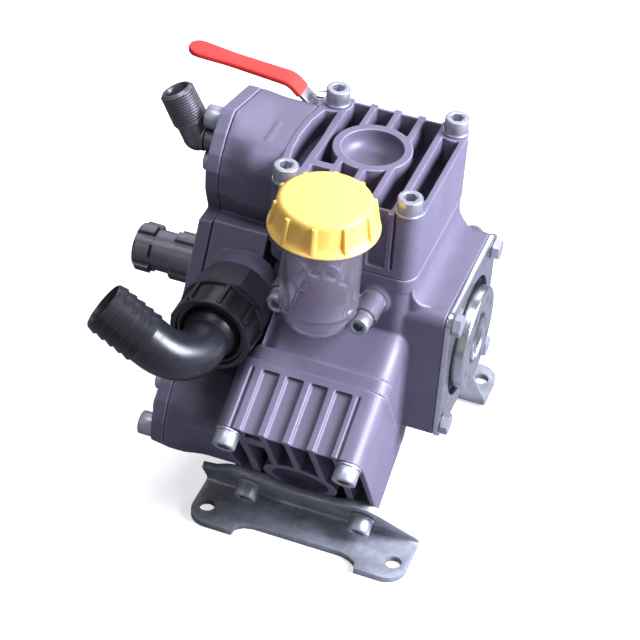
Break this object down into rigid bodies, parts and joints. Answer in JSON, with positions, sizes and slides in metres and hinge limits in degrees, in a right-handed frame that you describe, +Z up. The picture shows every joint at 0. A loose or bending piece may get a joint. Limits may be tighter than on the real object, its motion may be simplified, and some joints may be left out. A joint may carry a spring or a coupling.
{
  "type": "diaphragm pressure pump",
  "caption": "Star-shaped diaphragm pump with finned cast heads, splined through shaft, motor flange, hose inlet, ball valve lever, oil cup and two floor brackets.",
  "frame": {"origin": "on the floor under the middle of the pump's box, with the feet standing on Z = 0", "axes": "+X along the drive shaft towards the motor flange, +Z up, -Y towards the side with the suction elbow and the oil cup"},
  "size_m": [0.246, 0.306, 0.2723],
  "materials": {
    "cast_paint": "satin dark grey paint on a slightly rough casting",
    "zinc": "bright zinc-plated fasteners",
    "galvanised": "dull galvanised bracket plate",
    "machined": "bright turned steel",
    "dark_steel": "oiled dark steel, satin",
    "bearing_steel": "ground bearing steel",
    "black_plastic": "glossy black moulded nylon",
    "rubber": "matte black rubber",
    "clear_plastic": "clear moulded plastic",
    "yellow_plastic": "semi-gloss yellow plastic",
    "red_vinyl": "dipped red vinyl sleeve",
    "chromed": "polished valve ball and stem"
  },
  "bodies": {
    "pump_body": {"head_top": "cast_paint", "head_bolt_top_1": "zinc", "head_bolt_top_2": "zinc", "head_bolt_top_3": "zinc", "head_bolt_top_4": "zinc", "diaphragm_top": "rubber", "cover_screw_top_1": "zinc", "cover_screw_top_2": "zinc", "head_front": "cast_paint", "head_bolt_front_1": "zinc", "head_bolt_front_2": "zinc", "head_bolt_front_3": "zinc", "head_bolt_front_4": "zinc", "diaphragm_front": "rubber", "cover_screw_front_1": "zinc", "cover_screw_front_2": "zinc", "port_plug_front": "zinc", "head_rear": "cast_paint", "head_bolt_rear_1": "zinc", "head_bolt_rear_2": "zinc", "head_bolt_rear_3": "zinc", "head_bolt_rear_4": "zinc", "diaphragm_rear": "rubber", "cover_screw_rear_1": "zinc", "cover_screw_rear_2": "zinc", "port_plug_rear": "zinc", "crankcase": "cast_paint", "flange_plate": "machined", "flange_bolt_1": "zinc", "flange_bolt_2": "zinc", "flange_bolt_3": "zinc", "flange_bolt_4": "zinc", "main_bearing_rear": "bearing_steel", "main_bearing_front": "bearing_steel", "shaft_seal_rear": "rubber", "shaft_seal_front": "rubber", "manifold_body": "cast_paint", "manifold_cover": "cast_paint", "outlet_elbow": "dark_steel", "inlet_adapter": "black_plastic", "oil_cup": "clear_plastic", "cup_screw_1": "zinc", "cup_screw_2": "zinc", "valve_body": "machined", "foot_front": "galvanised", "foot_rear": "galvanised"},
    "shaft": {"crankshaft": "dark_steel", "eccentric_bearing": "bearing_steel", "drive_hub": "machined"},
    "piston_top": {"piston_top": "bearing_steel"},
    "piston_front": {"piston_front": "bearing_steel"},
    "piston_rear": {"piston_rear": "bearing_steel"},
    "valve_lever": {"valve_ball": "chromed", "valve_lever": "zinc", "lever_grip": "red_vinyl", "lever_nut": "zinc"},
    "oil_cap": {"oil_cap": "yellow_plastic"},
    "union_nut": {"union_nut": "black_plastic"},
    "inlet_elbow": {"inlet_elbow": "black_plastic"}
  },
  "joints": [
    {"name": "shaft_spin", "type": "hinge", "parent": "pump_body", "child": "shaft", "pos_m": [0.03895, 0.0083, 0.1278], "axis": [1, 0, 0], "continuous": true},
    {"name": "piston_top_stroke", "type": "slide", "parent": "pump_body", "child": "piston_top", "axis": [0, 0, 1], "range_m": [0, 0.012]},
    {"name": "piston_front_stroke", "type": "slide", "parent": "pump_body", "child": "piston_front", "axis": [0, -0.866, -0.5], "range_m": [0, 0.012]},
    {"name": "piston_rear_stroke", "type": "slide", "parent": "pump_body", "child": "piston_rear", "axis": [0, 0.866, -0.5], "range_m": [0, 0.012]},
    {"name": "valve_turn", "type": "hinge", "parent": "pump_body", "child": "valve_lever", "pos_m": [-0.02305, 0.0843, 0.2258], "axis": [0, 0, 1], "range_deg": [-90, 0]},
    {"name": "cap_turn", "type": "hinge", "parent": "pump_body", "child": "oil_cap", "pos_m": [0.03675, -0.0747, 0.2578], "axis": [0, 0, 1], "continuous": true},
    {"name": "union_nut_turn", "type": "hinge", "parent": "pump_body", "child": "union_nut", "pos_m": [-0.02675, -0.0867, 0.1608], "axis": [0, 1, 0], "continuous": true},
    {"name": "elbow_swivel", "type": "hinge", "parent": "pump_body", "child": "inlet_elbow", "pos_m": [-0.02675, -0.0917, 0.1608], "axis": [0, 1, 0], "range_deg": [-60, 120]}
  ]
}
